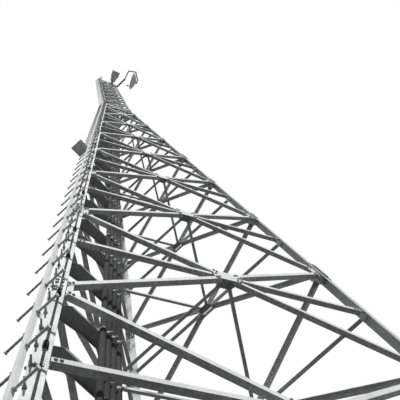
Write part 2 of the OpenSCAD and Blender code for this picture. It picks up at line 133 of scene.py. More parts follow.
def onLeg(leg, z, local):  # world place of a point in a leg's own axes, at a height along its heel
    tier = tierOf(z)
    turn, start = legPlace(leg, tier)
    return start + turn @ (np.array([0, 0, alongLeg(z, tier)]) + np.asarray(local, float))


# A flange's own axes in those of its leg: u from the heel along the flange, v up, n out of the flange.
# Side 1 and side -1 are mirror images, and the copies placed on side -1 get their faces turned round.
def flangeTurn(side):
    c = math.sqrt(0.5)
    u = np.array([-c, side * c, 0])
    n = np.array([c, side * c, 0])
    return np.stack([u, np.array([0, 0, 1.0]), n], 1)


def onFlange(leg, side, z, u, n=0.0):
    turn = flangeTurn(side)
    return onLeg(leg, z, turn[:, 0] * u + turn[:, 2] * n)


def flangeAxes(leg, side, z):  # turn of a shape whose x lies along the flange, y up and z out of it
    return legPlace(leg, tierOf(z))[0] @ flangeTurn(side)


# The shader groups that the finishes share
def newGroup(name, inputs, outputs):
    group = bpy.data.node_groups.new(name, "ShaderNodeTree")
    for label, kind, value in inputs:
        socket = group.interface.new_socket(name=label, in_out="INPUT", socket_type=kind)
        socket.default_value = value
    for label, kind in outputs:
        group.interface.new_socket(name=label, in_out="OUTPUT", socket_type=kind)
    return group, group.nodes.new("NodeGroupInput"), group.nodes.new("NodeGroupOutput")


def addNode(tree, kind, links=(), **values):
    node = tree.nodes.new(kind)
    for key, value in values.items():
        setattr(node, key, value)
    for socket, source in links:
        if hasattr(source, "links"):
            tree.links.new(source, node.inputs[socket])
        else:
            node.inputs[socket].default_value = source
    return node


def mathNode(tree, operation, a, b=0.0, clamp=False):
    node = addNode(tree, "ShaderNodeMath", ((0, a), (1, b)), operation=operation)
    node.use_clamp = clamp
    return node.outputs[0]


def times(tree, a, b):
    return mathNode(tree, "MULTIPLY", a, b)


def lessThanWhole(tree, mask, amount):  # 1 - mask * amount, the tone that a mask leaves
    return mathNode(tree, "SUBTRACT", 1.0, times(tree, mask, amount))


def noiseNode(tree, vector, scale, detail, roughness=0.5):
    node = addNode(tree, "ShaderNodeTexNoise", (("Vector", vector), ("Scale", scale), ("Detail", detail),
                                                ("Roughness", roughness)))
    return node.outputs


def rampNode(tree, source, low, high, fromValue=0.0, toValue=1.0):
    limits = (1, low), (2, high), (3, fromValue), (4, toValue)
    node = addNode(tree, "ShaderNodeMapRange", ((0, source), *limits),
                   interpolation_type="SMOOTHSTEP")
    return node.outputs[0]


spangle = dict(bend=0.012, bendDetail=2.0, roughnessSpread=0.25, relief=0.4)


# Crystals of zinc: cells of a few millimetres, each of its own tone and gloss
def buildSpangle():
    group, given, result = newGroup("zincSpangle",
        (("Vector", "NodeSocketVector", (0, 0, 0)), ("Cell Size", "NodeSocketFloat", 0.012),
         ("Contrast", "NodeSocketFloat", 0.1)),
        (("Tone", "NodeSocketFloat"), ("Roughness Shift", "NodeSocketFloat"), ("Height", "NodeSocketFloat")))
    vector = given.outputs["Vector"]
    scale = mathNode(group, "DIVIDE", 1.0, given.outputs["Cell Size"])
    bent = noiseNode(group, vector, scale, spangle["bendDetail"])
    mixed = addNode(group, "ShaderNodeMix", ((0, spangle["bend"]), (4, vector), (5, bent["Color"])),
                    data_type="VECTOR")
    cells = addNode(group, "ShaderNodeTexVoronoi", (("Vector", mixed.outputs[1]), ("Scale", scale)))
    tone = addNode(group, "ShaderNodeSeparateColor", ((0, cells.outputs["Color"]),)).outputs
    spread = times(group, mathNode(group, "SUBTRACT", tone[0], 0.5), given.outputs["Contrast"])
    gloss = times(group, mathNode(group, "SUBTRACT", tone[1], 0.5), spangle["roughnessSpread"])
    group.links.new(mathNode(group, "ADD", spread, 1.0), result.inputs["Tone"])
    group.links.new(gloss, result.inputs["Roughness Shift"])
    group.links.new(times(group, tone[2], spangle["relief"]), result.inputs["Height"])
    return group


patches = dict(detail=5.0, roughness=0.62, edge=(0.36, 0.66))


# Broad cloudy patches where the zinc has dulled
def buildPatina():
    group, given, result = newGroup("dulledPatches",
        (("Vector", "NodeSocketVector", (0, 0, 0)), ("Patch Size", "NodeSocketFloat", 0.35),
         ("Amount", "NodeSocketFloat", 0.2)),
        (("Tone", "NodeSocketFloat"), ("Mask", "NodeSocketFloat")))
    scale = mathNode(group, "DIVIDE", 1.0, given.outputs["Patch Size"])
    broad = noiseNode(group, given.outputs["Vector"], scale, patches["detail"], patches["roughness"])
    mask = rampNode(group, broad["Fac"], *patches["edge"])
    group.links.new(lessThanWhole(group, mask, given.outputs["Amount"]), result.inputs["Tone"])
    group.links.new(mask, result.inputs["Mask"])
    return group


rain = dict(detail=3.0, edge=(0.5, 0.74))


# Rain streaks: noise drawn out along the height
def buildStreaks():
    group, given, result = newGroup("rainStreaks",
        (("Vector", "NodeSocketVector", (0, 0, 0)), ("Width", "NodeSocketFloat", 0.015),
         ("Length", "NodeSocketFloat", 0.5), ("Amount", "NodeSocketFloat", 0.2)),
        (("Tone", "NodeSocketFloat"), ("Mask", "NodeSocketFloat")))
    across = mathNode(group, "DIVIDE", 1.0, given.outputs["Width"])
    down = mathNode(group, "DIVIDE", 1.0, given.outputs["Length"])
    stretch = addNode(group, "ShaderNodeCombineXYZ", ((0, across), (1, across), (2, down)))
    drawn = addNode(group, "ShaderNodeVectorMath", ((0, given.outputs["Vector"]), (1, stretch.outputs[0])),
                    operation="MULTIPLY")
    mask = rampNode(group, noiseNode(group, drawn.outputs[0], 1.0, rain["detail"])["Fac"], *rain["edge"])
    group.links.new(lessThanWhole(group, mask, given.outputs["Amount"]), result.inputs["Tone"])
    group.links.new(mask, result.inputs["Mask"])
    return group


ledges = dict(speckScale=24.0, speckDetail=4.0, broken=(0.35, 0.65, 0.45, 1.0), dust=(0.5, 0.95),
              grime=(-0.25, -0.8))


# Dust on ledges that look up, and painted shade that darkens the faces that look down
def buildGrime():
    group, given, result = newGroup("ledgeGrime",
        (("Vector", "NodeSocketVector", (0, 0, 0)), ("Dust", "NodeSocketFloat", 0.3),
         ("Grime", "NodeSocketFloat", 0.3)),
        (("Dust Mask", "NodeSocketFloat"), ("Grime Mask", "NodeSocketFloat")))
    facing = addNode(group, "ShaderNodeNewGeometry")
    height = addNode(group, "ShaderNodeSeparateXYZ", ((0, facing.outputs["Normal"]),)).outputs["Z"]
    speck = noiseNode(group, given.outputs["Vector"], ledges["speckScale"], ledges["speckDetail"])
    broken = rampNode(group, speck["Fac"], *ledges["broken"])
    for mask, facingFrom in (("Dust", ledges["dust"]), ("Grime", ledges["grime"])):
        turnedTo = rampNode(group, height, *facingFrom)
        group.links.new(times(group, times(group, turnedTo, broken), given.outputs[mask]),
                        result.inputs[mask + " Mask"])
    return group


spangleGroup, patinaGroup = buildSpangle(), buildPatina()
streakGroup, grimeGroup = buildStreaks(), buildGrime()


def placeGroup(tree, group, vector, **values):
    node = tree.nodes.new("ShaderNodeGroup")
    node.node_tree = group
    tree.links.new(vector, node.inputs["Vector"])
    for label, value in values.items():
        node.inputs[label.replace("_", " ")].default_value = value
    return node.outputs


def mixColour(tree, factor, first, second, blend="MIX"):
    node = addNode(tree, "ShaderNodeMix", ((0, factor), (6, first), (7, second)), data_type="RGBA",
                   blend_type=blend)
    return node.outputs[2]


# The zinc's look; the amount and colour of painted shade in it darken the faces that look down
zincLook = dict(colour=(0.76, 0.765, 0.77, 1), cell=0.011, cellContrast=0.16, patch=0.42, patchAmount=0.16,
                patchRoughness=0.12, streakWidth=0.016, streakLength=0.55, streakAmount=0.14, dust=0.25,
                dustColour=(0.6, 0.59, 0.57, 1), grime=0.6, grimeColour=(0.3, 0.3, 0.295, 1), roughness=0.55,
                metallic=0.0, specular=0.12, grainScale=420.0, grainDetail=4.0, bump=0.35, bumpDepth=0.0006)
# Lit and shaded copies of the zinc: a lighter one paints light on the climbing rails and the rest platform so
# they look as sunlit as the leg's flange, and a darker one paints shade on the mast's rail and left leg
paintedLightZinc, paintedShadeZinc = (0.95, 0.955, 0.96, 1), (0.42, 0.425, 0.43, 1)


def finish(name, **changes):  # one weathered finish: the zinc's look with its own changes
    look = dict(zincLook, **changes)
    material = bpy.data.materials.new(name)
    material.use_nodes = True
    tree = material.node_tree
    shader = tree.nodes["Principled BSDF"]
    where = tree.nodes.new("ShaderNodeTexCoord").outputs["Object"]
    crystals = placeGroup(tree, spangleGroup, where, Cell_Size=look["cell"], Contrast=look["cellContrast"])
    patina = placeGroup(tree, patinaGroup, where, Patch_Size=look["patch"], Amount=look["patchAmount"])
    streaks = placeGroup(tree, streakGroup, where, Width=look["streakWidth"], Length=look["streakLength"],
                         Amount=look["streakAmount"])
    grime = placeGroup(tree, grimeGroup, where, Dust=look["dust"], Grime=look["grime"])
    tone = times(tree, times(tree, crystals["Tone"], patina["Tone"]), streaks["Tone"])
    grey = addNode(tree, "ShaderNodeCombineColor", ((0, tone), (1, tone), (2, tone)))
    base = mixColour(tree, 1.0, grey.outputs[0], look["colour"], "MULTIPLY")
    dusty = mixColour(tree, grime["Dust Mask"], base, look["dustColour"])
    # painted shade: faces that look down are mixed towards the shade colour
    withUndersideShade = mixColour(tree, grime["Grime Mask"], dusty, look["grimeColour"])
    tree.links.new(withUndersideShade, shader.inputs["Base Color"])
    rough = mathNode(tree, "ADD", mathNode(tree, "ADD", crystals["Roughness Shift"], look["roughness"]),
                     times(tree, patina["Mask"], look["patchRoughness"]), clamp=True)
    tree.links.new(rough, shader.inputs["Roughness"])
    shader.inputs["Metallic"].default_value = look["metallic"]
    shader.inputs["Specular IOR Level"].default_value = look["specular"]
    grain = noiseNode(tree, where, look["grainScale"], look["grainDetail"])
    height = mathNode(tree, "ADD", grain["Fac"], crystals["Height"])
    bump = addNode(tree, "ShaderNodeBump", (("Strength", look["bump"]), ("Distance", look["bumpDepth"]),
                                            ("Height", height)))
    tree.links.new(bump.outputs[0], shader.inputs["Normal"])
    return material


finishes = {
    "galvanised_legs": finish("legZinc", colour=(0.82, 0.825, 0.83, 1)),
    "galvanised_bracing": finish("braceZinc", colour=(0.85, 0.855, 0.86, 1)),
    # The fittings' zinc is darker: partly weathering, partly painted shade for their unlit sides
    "galvanised_fittings": finish("fittingZinc", colour=(0.45, 0.455, 0.46, 1), cell=0.007, patch=0.2),
    "black_cable": finish("cableJacket", colour=(0.055, 0.055, 0.057, 1), cellContrast=0.0, patchAmount=0.25,
                          streakAmount=0.05, dust=0.3, dustColour=(0.16, 0.155, 0.15, 1), grime=0.0,
                          roughness=0.8, specular=0.1, grainScale=260.0, bump=0.2),
    "grey_antenna_paint": finish("antennaPaint", colour=(0.86, 0.865, 0.87, 1), cellContrast=0.0, patch=0.6,
                                 patchAmount=0.08, streakAmount=0.12, dust=0.2, grime=0.1,
                                 grimeColour=(0.5, 0.5, 0.495, 1), roughness=0.42, specular=0.4,
                                 grainScale=180.0, bump=0.12),
    "white_antenna_cover": finish("coverSheet", colour=(0.88, 0.88, 0.87, 1), cellContrast=0.0, patch=0.5,
                                  patchAmount=0.08, streakAmount=0.18, dust=0.1, grime=0.1,
                                  grimeColour=(0.6, 0.6, 0.59, 1), roughness=0.38, specular=0.4,
                                  grainScale=90.0, bump=0.08),
}
# painted light on the rails and the platform, painted shade on the mast's rail and left leg
paintedLightRail = finish("railZincPaintedLight", colour=paintedLightZinc, cellContrast=0.08, patchAmount=0.08)
paintedShadeMast = finish("mastZincPaintedShade", colour=paintedShadeZinc)
ownFinish = {"climbing_rail_lower": paintedLightRail, "climbing_rail_middle": paintedLightRail,
             "climbing_rail_upper": paintedLightRail, "climbing_rail_mast": paintedShadeMast, "left_leg_mast": paintedShadeMast,
             "rest_platform": finish("platformZincPaintedLight", colour=paintedLightZinc, grime=0.05)}
slotOf = {entry["node"]: entry["material_slot"] for entry in frame["record"]["subparts"]}
for nodeName, part in frame["nodes"].items():
    part.data.materials.clear()
    part.data.materials.append(ownFinish.get(nodeName, finishes[slotOf[nodeName]]))
    for polygon in part.data.polygons:
        polygon.use_smooth = False
print("finishes on", len(frame["nodes"]), "frame parts")


def addPiece(name, shape, slotName):
    points, faces = shape
    mesh = bpy.data.meshes.new(name)
    mesh.from_pydata(points.tolist(), [], [np.asarray(face).tolist() for face in faces])
    mesh.update()
    piece = bpy.data.objects.new(name, mesh)
    bpy.context.scene.collection.objects.link(piece)
    mesh.materials.append(finishes[slotName])
    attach(piece, "root")
    print(name, len(mesh.polygons), "faces")


# Faces over a grid of points: each row closes on itself, and in a loop the last row meets the first
def gridFaces(rows, columns, loop=False):
    i, j = np.meshgrid(np.arange(rows if loop else rows - 1), np.arange(columns), indexing="ij")
    m, k = (i + 1) % rows, (j + 1) % columns
    quads = np.stack([i * columns + j, i * columns + k, m * columns + k, m * columns + j], 2)
    return list(quads.reshape(-1, 4))


def cappedFaces(rows, columns):  # the same with a face over each end
    return gridFaces(rows, columns) + [np.arange(columns)[::-1], (rows - 1) * columns + np.arange(columns)]


def roundZ(profile, sides, start=0.0):  # each (radius, height) of a profile at evenly spaced angles round z
    profile = np.array(profile, float)
    angle = start + 2 * np.pi * np.arange(sides) / sides
    return np.stack([profile[:, :1] * np.cos(angle), profile[:, :1] * np.sin(angle),
                     np.repeat(profile[:, 1:], sides, 1)], 2).reshape(-1, 3)


# A profile of (radius, height) carried round the z axis, with its ends closed by caps
def turned(profile, sides, start=0.0):
    return roundZ(profile, sides, start), cappedFaces(len(profile), sides)


# A ring: a closed profile of (radius, height) carried round the z axis
def ring(profile, sides):
    return roundZ(profile, sides), gridFaces(len(profile), sides, loop=True)


# A tube of radius r along a path: at each point a circle stands square to the path's direction
def tube(path, r, sides):
    path = np.asarray(path, float)
    way = np.gradient(path, axis=0)
    way /= np.linalg.norm(way, axis=1)[:, None]
    side = np.cross(way, [0.31, 0.87, 0.21])  # any direction that no path follows
    side /= np.linalg.norm(side, axis=1)[:, None]
    other = np.cross(way, side)
    angle = 2 * np.pi * np.arange(sides) / sides
    circles = (np.cos(angle)[None, :, None] * side[:, None] + np.sin(angle)[None, :, None] * other[:, None])
    return (path[:, None] + r * circles).reshape(-1, 3), cappedFaces(len(path), sides)


# A flat piece with an outline in x and y: three rings of it, at the foot, under the bevel, and drawn in
# towards the middle at the top
def slab(outline, thickness, bevel=0.0015):
    outline = np.array(outline, float)
    centre = outline.mean(0)
    spread = outline - centre
    inner = centre + spread * (1 - bevel / np.abs(spread).max())
    n = len(outline)
    points = np.concatenate([np.c_[outline, np.zeros(n)], np.c_[outline, np.full(n, thickness - bevel)],
                             np.c_[inner, np.full(n, thickness)]])
    return points, cappedFaces(3, n)


def block(x0, x1, y0, y1, z0, z1, bevel=0.0015):  # a slab with a rectangle for its outline
    points, faces = slab([(x0, y0), (x1, y0), (x1, y1), (x0, y1)], z1 - z0, bevel)
    return points + [0, 0, z0], faces


# A strip between a curve and the same curve further out, with some thickness: its outline of n points runs
# along one curve and back along the other, stands once on each side, and quads from curve to curve close both
def stripFaces(n):
    j = np.arange(n)
    k = (j + 1) % n
    i = np.arange(n // 2 - 1)
    edge = np.stack([j, k, n + k, n + j], 1)
    near = np.stack([n - 1 - i, n - 2 - i, i + 1, i], 1)
    far = np.stack([n + i, n + i + 1, 2 * n - 2 - i, 2 * n - 1 - i], 1)
    return list(edge) + list(near) + list(far)


# Several (points, faces) as one, with each part's faces counted on from the points before it
def joined(parts):
    points, faces, count = [], [], 0
    for partPoints, partFaces in parts:
        points.append(partPoints)
        faces += [np.asarray(face) + count for face in partFaces]
        count += len(partPoints)
    return np.concatenate(points), faces


def moved(shape, turn, place):  # point = place + turn * point, with the faces turned round in a mirror
    turn = np.asarray(turn, float)
    faces = shape[1] if np.linalg.det(turn) > 0 else [np.asarray(face)[::-1] for face in shape[1]]
    return shape[0] @ turn.T + np.asarray(place), faces


def shifted(shape, *place):
    return shape[0] + place, shape[1]


# Copies of one small shape: point = place + turn * point, for whole arrays of places and turns
def scattered(shape, turns, places):
    points, faces = shape
    turns, places = np.asarray(turns), np.asarray(places)
    spread = np.einsum("nij,pj->npi", turns, points) + places[:, None]
    mirrored = np.linalg.det(turns) < 0  # a copy seen in a mirror has its faces turned round again
    copies = []
    bySize = {}
    for face in faces:
        bySize.setdefault(len(face), []).append(np.asarray(face))
    for group in bySize.values():
        corners = np.array(group)[None] + (np.arange(len(places)) * len(points))[:, None, None]
        corners[mirrored] = corners[mirrored][:, :, ::-1]
        copies += corners.reshape(-1, corners.shape[2]).tolist()
    return spread.reshape(-1, 3), copies


def facingTurn(axis, along):  # turns whose z is the axis and whose x lies as near to along as it can
    z = axis / np.linalg.norm(axis)
    x = along - z * (along @ z)
    x /= np.linalg.norm(x)
    return np.stack([x, np.cross(z, x), z], 1)


def outOfFace(turn, along):  # a turn whose z looks out of a face and whose x lies along (x, z) in its plane
    return facingTurn(turn @ np.array([0, -1.0, 0]), turn @ np.array([along[0], 0, along[1]]))


def braceSize(tier):  # width of a tier's braces, and the gap between two of them on one leg
    if tier == mast:
        return tower["mastBraceWidth"], tower["mastJointGap"] * tower["mastBraceWidth"]
    return tower["braceWidth"], tower["jointGap"]


def endInset(b):  # how far a brace of width b ends short of the leg's heel line
    return (b - tower["faceOut"]) * root3 + b / 2 + tower["endClearance"]


# Half widths and heights of a panel's bars, low and high, and the height at which they cross
def panelCorners(z0, z1, tier):
    b, gap = braceSize(tier)
    v0, v1 = alongFace(z0, tier) + gap / 2, alongFace(z1, tier) - gap / 2
    h0, h1 = widthAt(z0) / 2 - endInset(b), widthAt(z1) / 2 - endInset(b)
    return h0, h1, v0, v1, v0 + (v1 - v0) * h0 / (h0 + h1)


# Ends of a panel's bars as (point in the face, direction along the bar from that end, is it at a leg)
def barEnds(z0, z1, tier):
    b = braceSize(tier)[0]
    stop = tower["crossingStop"] * b
    h0, h1, v0, v1, vc = panelCorners(z0, z1, tier)
    slope = math.atan2(v1 - v0, h0 + h1)
    x, y = stop * math.cos(slope), stop * math.sin(slope)
    bars = [((-h0, v0), (-x, vc - y)), ((x, vc + y), (h1, v1)),
            ((-h1, v1), (-x, vc + y)), ((x, vc - y), (h0, v0))]
    if tier != mast:  # the strut through the crossing
        half = widthAt(rise(tier) + vc * math.cos(faceLean(tier))) / 2 - endInset(b)
        bars += [((-half, vc), (-stop, vc)), ((stop, vc), (half, vc))]
    ends = []
    for p, q in bars:
        p, q = np.array(p), np.array(q)
        way = (q - p) / np.linalg.norm(q - p)
        pAtLeg = abs(p[0]) > abs(q[0])
        ends += [(p, way, pAtLeg), (q, -way, not pAtLeg)]
    return ends


def panelSpans(tier):  # heights between which each panel's diagonals run
    t = tower
    if tier < mast:
        return [(panelZ[i], panelZ[i + 1]) for i in tierPanels[tier]]
    zs = [waistZ + i * t["bayHeight"] for i in range(t["bays"] + 1)]
    zs[0] += t["ringHeight"]
    zs[-1] -= t["mastBraceWidth"]
    return list(zip(zs[:-1], zs[1:]))


def eachBarEnd(tier):  # every end of every bar of a tier, with its face's turn and start
    for face in range(3):
        turn, start = facePlace(face, tier)
        for z0, z1 in panelSpans(tier):
            for end, way, atLeg in barEnds(z0, z1, tier):
                yield turn, start, end, way, atLeg


bolts = dict(grip=0.013, washerRadius=0.015, washerHeight=0.003, headRadius=0.0135, headHeight=0.01,
             nutHeight=0.013, nutTurn=0.3, chamferFrom=0.85, chamferRadius=0.86, threadRadius=0.008,
             threadOut=0.009, firstFromEnd=0.032, pitch=0.04, perEnd=2, perMastEnd=1, mastSize=0.75)


# A bolt of six-sided and round profiles: its head and a washer on the z side of a grip, and behind the grip
# a washer, the nut and the end of the thread
def boltShape(grip):
    b = bolts
    headFrom, nutTo = b["washerHeight"], -grip - b["washerHeight"]
    nutFrom = nutTo - b["nutHeight"]
    washer = [(b["washerRadius"], 0), (b["washerRadius"], b["washerHeight"])]
    head = [(b["headRadius"], headFrom), (b["headRadius"], headFrom + b["headHeight"] * b["chamferFrom"]),
            (b["headRadius"] * b["chamferRadius"], headFrom + b["headHeight"])]
    nut = [(b["headRadius"], nutFrom), (b["headRadius"], nutTo)]
    under = [(b["washerRadius"], nutTo), (b["washerRadius"], -grip)]
    thread = [(b["threadRadius"], nutFrom - b["threadOut"]), (b["threadRadius"], nutFrom)]
    return joined([turned(washer, 10), turned(head, 6), turned(nut, 6, b["nutTurn"]), turned(under, 10),
                   turned(thread, 6)])


def addBraceBolts(tier):
    t, width = tower, braceSize(tier)[0]
    count, size = (bolts["perMastEnd"], bolts["mastSize"]) if tier == mast else (bolts["perEnd"], 1.0)
    turns, places = [], []
    for turn, start, end, way, atLeg in eachBarEnd(tier):
        out = -t["faceOut"] if atLeg else t["plateSeat"] - t["faceOut"] - t["plateThickness"]
        for k in range(count):
            spot = end + way * (bolts["firstFromEnd"] * width / t["braceWidth"] + k * bolts["pitch"])
            places.append(start + turn @ np.array([spot[0], out, spot[1]]))
            turns.append(outOfFace(turn, way))
    points, faces = boltShape(bolts["grip"])
    addPiece("braceBolts" + tierNames[tier], scattered((points * size, faces), turns, places),
             "galvanised_fittings")


for tier in (lower, middle, upper, mast):
    addBraceBolts(tier)

# The outer flange of a brace runs on over its joint plate, behind the edge of the leg
toe = dict(length=0.075, fromHeel=0.082, bevel=0.001)


def addBarToes(tier):
    t, width = tower, braceSize(tier)[0]
    share = width / t["braceWidth"]
    turns, places = [], []
    for turn, start, end, way, atLeg in eachBarEnd(tier):
        if atLeg:
            room = (endInset(width) - toe["fromHeel"] * share) / abs(way[0])
            stretch = np.diag([min(toe["length"] * share, room), 1.0, 1.0])
            places.append(start + turn @ np.array([end[0], t["braceThickness"] - t["faceOut"], end[1]]))
            turns.append(outOfFace(turn, way) @ stretch)
    plate = slab([(-1, -width / 2), (0, -width / 2), (0, width / 2), (-1, width / 2)], t["braceThickness"],
                 toe["bevel"])
    addPiece("barToes" + tierNames[tier], scattered(plate, turns, places), "galvanised_bracing")


for tier in (lower, middle, upper, mast):
    addBarToes(tier)

# Bolts of the legs: rows at each joint of the braces, and rows through the cover angles of each splice
legBolts = dict(grip=0.022, size=1.15, fromHeel=(0.34, 0.7), jointRows=(-0.115, -0.05, 0.05, 0.115),
                spliceFirst=0.035, splicePitch=0.055, spliceRows=4, coverThickness=0.008)


def addLegBolts():
    b = legBolts
    spliceRows = [way * (b["spliceFirst"] + i * b["splicePitch"])
                  for way in (-1, 1) for i in range(b["spliceRows"])]
    rows = [(z + r, 0.0) for z in panelZ[1:-1] if z not in spliceZ for r in b["jointRows"]]
    rows += [(z + r, b["coverThickness"]) for z in (*spliceZ, waistZ) for r in spliceRows]
    points, faces = boltShape(b["grip"])
    for leg in (left, right, rear):
        turns, places = [], []
        for side in (-1, 1):
            for z, out in rows:
                for share in b["fromHeel"]:
                    places.append(onFlange(leg, side, z, share * tower["legWidths"][tierOf(z)], out))
                    turns.append(flangeAxes(leg, side, z))
        addPiece(legNames[leg] + "LegBolts", scattered((points * b["size"], faces), turns, places),
                 "galvanised_fittings")


addLegBolts()

# Fixings of the climbing rail: studs square to the front flange with their nuts, clips on both flanges,
# collars where each peg leaves the rail, and ribs on the pegs that keep a boot from slipping
rail = dict(out=0.058, width=0.05, firstPeg=2.262, pegPitch=0.282, lastPegMargin=0.04, topMargin=0.2,
            spliceMargin=0.3, stud=((0.008, -0.004), (0.008, 0.072), (0.0056, 0.075)), studFromHeel=0.022,
            washer=((0.017, 0.0), (0.017, 0.004)), nut=((0.0145, 0.004), (0.0145, 0.018)), studsPerClip=5,
            clipWidth=0.036, clipLength=0.06, clipHeel=0.004, clipThickness=0.006, clipTurn=0.2,
            clipNut=((0.012, 0.006), (0.012, 0.016), (0.01, 0.018)), clipFromHeel=0.018,
            frontClipFromHeel=0.045, collarFrom=0.012, ribsFrom=(0.06, 0.1, 0.14, 0.18),
            collar=((0.0102, 0.0), (0.0185, 0.0), (0.0185, 0.006), (0.0102, 0.009)),
            rib=((0.0099, -0.003), (0.0118, -0.0015), (0.0118, 0.0015), (0.0099, 0.003)))


def addRailFixings():
    r = rail
    stud = joined([turned(r["stud"], 8), turned(r["washer"], 10), turned(r["nut"], 6)])
    clip = joined([block(-r["clipHeel"], r["clipLength"], -r["clipWidth"] / 2, r["clipWidth"] / 2,
                         0, r["clipThickness"]), turned(r["clipNut"], 6, r["clipTurn"])])
    zs = np.arange(r["firstPeg"] + r["pegPitch"] / 2, topZ - r["topMargin"], r["pegPitch"])
    zs = [z for z in zs if min(abs(z - s) for s in (*spliceZ, waistZ)) > r["spliceMargin"]]
    someZ = zs[::r["studsPerClip"]]
    for name, shape, side, fromHeel, chosen in (("railStuds", stud, 1, r["studFromHeel"], zs),
                                                ("railClips", clip, -1, r["clipFromHeel"], someZ),
                                                ("railClipsFront", clip, 1, r["frontClipFromHeel"], someZ)):
        turns = [flangeAxes(left, side, z) for z in chosen]
        places = [onFlange(left, side, z, fromHeel) for z in chosen]
        addPiece(name, scattered(shape, turns, places), "galvanised_fittings")
    turns, places, ribTurns, ribPlaces = [], [], [], []
    for k in range(int((topZ - r["lastPegMargin"] - r["firstPeg"]) / r["pegPitch"]) + 1):
        z = r["firstPeg"] + k * r["pegPitch"]
        way = -1 if k % 2 == 0 else 1
        turn = legPlace(left, tierOf(z))[0] @ np.stack([[1.0, 0, 0], [0, 0, -way], [0, way, 0]], 1)
        turns.append(turn)
        places.append(onLeg(left, z, (r["out"], way * (r["width"] / 2 + r["collarFrom"]), 0)))
        for ribFrom in r["ribsFrom"]:
            ribTurns.append(turn)
            ribPlaces.append(onLeg(left, z, (r["out"], way * (r["width"] / 2 + ribFrom), 0)))
    addPiece("pegCollars", scattered(ring(r["collar"], 14), turns, places), "galvanised_fittings")
    addPiece("pegRibs", scattered(ring(r["rib"], 12), ribTurns, ribPlaces), "galvanised_fittings")


addRailFixings()

# Earth tape down the front flange of the left leg, in clips, with a step inward at each change of leg width
tape = dict(width=0.016, thickness=0.006, off=0.012, fromEdge=0.045,
            heights=(0.3, 3.9, 8.0, 12.0, 12.6, 16.5, 20.4, 21.0, 24.5, 27.2),
            firstClip=1.55, clipPitch=0.985, lastClip=27.0, clipHeight=0.075, clipWidth=0.04,
            clipOut=0.028, clipBevel=0.004, boltShare=0.3,
            bolt=((0.01, 0), (0.01, 0.012), (0.008, 0.014)), spliceMargin=0.32)


def tapeFromHeel(z):
    return tower["legWidths"][tierOf(z)] - tape["fromEdge"]


# The tape is a flat bar: the four corners of its section are carried up the flange
def addEarthTape():
    t = tape
    points = [onFlange(left, 1, z, tapeFromHeel(z) + du * t["width"] / 2, t["off"] + dn * t["thickness"])
              for z in t["heights"] for du, dn in ((-1, 1), (1, 1), (1, 0), (-1, 0))]
    addPiece("earthTape", (np.array(points), cappedFaces(len(t["heights"]), 4)), "black_cable")
    w, h = t["clipWidth"] / 2, t["clipHeight"] / 2
    bolt = turned(t["bolt"], 6)
    clip = joined([block(-w, w, -h, h, 0, t["clipOut"], t["clipBevel"])]
                  + [shifted(bolt, 0, s * t["clipHeight"] * t["boltShare"], t["clipOut"]) for s in (1, -1)])
    chosen = [z for z in np.arange(t["firstClip"], t["lastClip"], t["clipPitch"])
              if min(abs(z - s) for s in spliceZ) > t["spliceMargin"]]
    turns = [flangeAxes(left, 1, z) for z in chosen]
    places = [onFlange(left, 1, z, tapeFromHeel(z)) for z in chosen]
    addPiece("tapeClips", scattered(clip, turns, places), "black_cable")


addEarthTape()

# Hangers that hold the feeder cables on their brackets
cable = dict(side=0.05, width=0.12, first=0.466, radius=0.028, gap=0.003, count=4, seat=0.0003,
             shares=(0.257, 0.607, 0.875), lowShares=(0.375, 0.11), topShare=0.125, mastShares=(0.25, 0.75),
             lipHeight=0.036, strap=0.0012, clearance=0.0002, strapEnd=-0.046, band=0.03, below=0.004,
             bolt=((0.0115, -0.014), (0.0135, -0.012), (0.0135, 0.0), (0.006, 0.0), (0.006, 0.012)),
             boltY=-0.05, cap=((0.007, -0.012), (0.011, -0.009), (0.011, 0.004)), capOver=0.0125, capZ=0.002)


def bracketHeights(tier):
    t, c = tower, cable
    if tier == mast:
        last = t["bays"] - 1  # the top bay has only the first of its two brackets
        return [waistZ + (i + k) * t["bayHeight"] for i in range(t["bays"]) for k in c["mastShares"]
                if i < last or k < 0.5]
    return ([t["firstJoint"] - k * t["panelHeight"] for k in c["lowShares"]]
            + [panelZ[i] + k * t["panelHeight"] for i in range(1, t["panels"] + 1) for k in c["shares"]]
            + [panelZ[t["panels"] + 1] + c["topShare"] * t["panelHeight"]])


# A hanger is a strap bent round a cable, a half circle with two straight ends, and bolts at its ends
def hangerShape():
    c = cable
    arc = np.linspace(0, np.pi, 9)

    def bend(r):
        return np.concatenate([[[r, c["strapEnd"]]], np.c_[r * np.cos(arc), r * np.sin(arc)],
                               [[-r, c["strapEnd"]]]])

    loop = np.concatenate([bend(c["radius"] + c["strap"]), bend(c["radius"] + c["clearance"])[::-1]])
    n = len(loop)
    points = np.concatenate([np.c_[loop, np.zeros(n)], np.c_[loop, np.full(n, c["band"])]])
    return joined([(points, stripFaces(n)),
                   shifted(turned(c["bolt"], 6), c["radius"] + c["gap"] / 2, c["boltY"], 0),
                   shifted(turned(c["cap"], 8), 0, c["radius"] + c["capOver"], c["capZ"])])


def addHangers():
    c = cable
    shape = hangerShape()
    pitch = 2 * c["radius"] + c["gap"]
    y = c["side"] + c["width"] / 2 + c["seat"] + c["radius"]
    for name, firstTier in (("cableHangers", lower), ("cableHangersMast", mast)):
        turns, places = [], []
        for z in bracketHeights(firstTier):
            for i in range(c["count"]):
                places.append(onLeg(left, z, (-c["first"] - (i + 0.5) * pitch, y, -c["band"] - c["below"])))
                turns.append(legPlace(left, tierOf(z))[0])
        addPiece(name, scattered(shape, turns, places), "galvanised_fittings")


addHangers()

# Gussets that carry the full width of a bracket on to the leg, with a lip down each long edge
gusset = dict(outline=((-0.12, -0.05), (-0.12, 0.06), (-0.19, 0.108), (-0.4, 0.11), (-0.4, -0.01)),
              lips=(((-0.19, 0.108), (-0.4, 0.11), 1), ((-0.12, -0.05), (-0.4, -0.01), -1)),
              thickness=0.004, lip=0.005, bevel=0.001, top=16.0)


